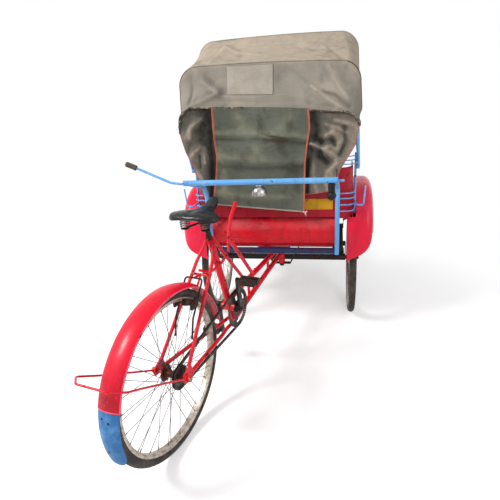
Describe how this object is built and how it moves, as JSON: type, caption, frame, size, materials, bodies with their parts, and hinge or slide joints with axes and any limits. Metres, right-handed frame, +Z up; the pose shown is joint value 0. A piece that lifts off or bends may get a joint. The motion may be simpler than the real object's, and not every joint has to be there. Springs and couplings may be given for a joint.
{
  "type": "cycle rickshaw",
  "caption": "Cycle rickshaw with a hooded passenger cabin between two front wheels and a pedal-driven bicycle frame behind that steers the cabin.",
  "frame": {"origin": "on the ground, at the middle of the machine's plan box", "axes": "+X to the machine's right, +Y forward over the footboard, +Z up; the cabin stands square on the axes and the rear frame is parked 14.4 degrees off straight"},
  "size_m": [1.2336, 2.4731, 1.6921],
  "materials": {
    "red_paint": "gloss, worn",
    "blue_paint": "gloss, worn",
    "flap_blue": "gloss, worn",
    "navy_paint": "satin, rusty",
    "black_steel": "satin, rusty",
    "wheel_steel": "dull, rusty",
    "chain_steel": "greasy",
    "bell_chrome": "polished",
    "tyre": "matt, dusty",
    "horn_rubber": "matt",
    "grip_plastic": "matt",
    "pedal_rubber": "matt, dirty",
    "plate_yellow": "satin",
    "canvas": "matt, stained",
    "curtain": "matt, stained",
    "seat_vinyl": "satin, worn",
    "saddle_vinyl": "gloss, worn",
    "board_wood": "worn"
  },
  "bodies": {
    "cabin": {"chassis": "navy_paint", "front_axle": "black_steel", "leaf_spring_left": "black_steel", "leaf_spring_right": "black_steel", "kingpin_bracket": "black_steel", "seat_box": "red_paint", "seat_board": "board_wood", "side_panel_left": "red_paint", "side_panel_right": "red_paint", "back_panel": "red_paint", "footboard": "board_wood", "seat_cushion": "seat_vinyl", "back_cushion": "seat_vinyl", "fender_left": "red_paint", "fender_right": "red_paint", "side_rails_left": "blue_paint", "side_rails_right": "blue_paint", "push_bar": "blue_paint", "pull_rod": "blue_paint", "rod_grip": "grip_plastic", "bell": "bell_chrome", "bulb_horn": "horn_rubber", "number_plate": "plate_yellow", "hood_bows": "blue_paint", "hood_canvas": "canvas", "rear_curtain": "curtain", "side_cloth_left": "canvas", "side_cloth_right": "canvas"},
    "wheel_left": {"front_tyre_left": "tyre", "front_wheel_left": "wheel_steel"},
    "wheel_right": {"front_tyre_right": "tyre", "front_wheel_right": "wheel_steel"},
    "rear_frame": {"rear_frame": "red_paint", "rear_mudguard": "red_paint", "mudguard_tip": "flap_blue", "mudguard_hoop": "red_paint", "saddle": "saddle_vinyl", "saddle_springs": "wheel_steel", "brake_lever": "red_paint", "brake_yoke": "black_steel", "chain": "chain_steel"},
    "rear_wheel": {"rear_tyre": "tyre", "rear_wheel": "wheel_steel"},
    "crank": {"crankset": "chain_steel"},
    "pedal_left": {"pedal_left": "pedal_rubber"},
    "pedal_right": {"pedal_right": "pedal_rubber"}
  },
  "joints": [
    {"name": "steering", "type": "hinge", "parent": "cabin", "child": "rear_frame", "pos_m": [0.0708, 0.3683, 0.417], "axis": [0, 0, 1], "range_deg": [-18.6, 47.4]},
    {"name": "front_wheel_left_spin", "type": "hinge", "parent": "cabin", "child": "wheel_left", "pos_m": [-0.3742, 0.4433, 0.355], "axis": [1, 0, 0], "continuous": true},
    {"name": "front_wheel_right_spin", "type": "hinge", "parent": "cabin", "child": "wheel_right", "pos_m": [0.5158, 0.4433, 0.355], "axis": [1, 0, 0], "continuous": true},
    {"name": "rear_wheel_spin", "type": "hinge", "parent": "rear_frame", "child": "rear_wheel", "pos_m": [-0.2423, -0.85115, 0.355], "axis": [0.9686, -0.2487, 0], "continuous": true},
    {"name": "crank_spin", "type": "hinge", "parent": "rear_frame", "child": "crank", "pos_m": [-0.11248, -0.34555, 0.398], "axis": [0.9686, -0.2487, 0], "continuous": true},
    {"name": "pedal_left_spin", "type": "hinge", "parent": "crank", "child": "pedal_left", "pos_m": [-0.22636, -0.2985, 0.2339], "axis": [0.9686, -0.2487, 0], "continuous": true},
    {"name": "pedal_right_spin", "type": "hinge", "parent": "crank", "child": "pedal_right", "pos_m": [0.00139, -0.39259, 0.5621], "axis": [0.9686, -0.2487, 0], "continuous": true}
  ]
}
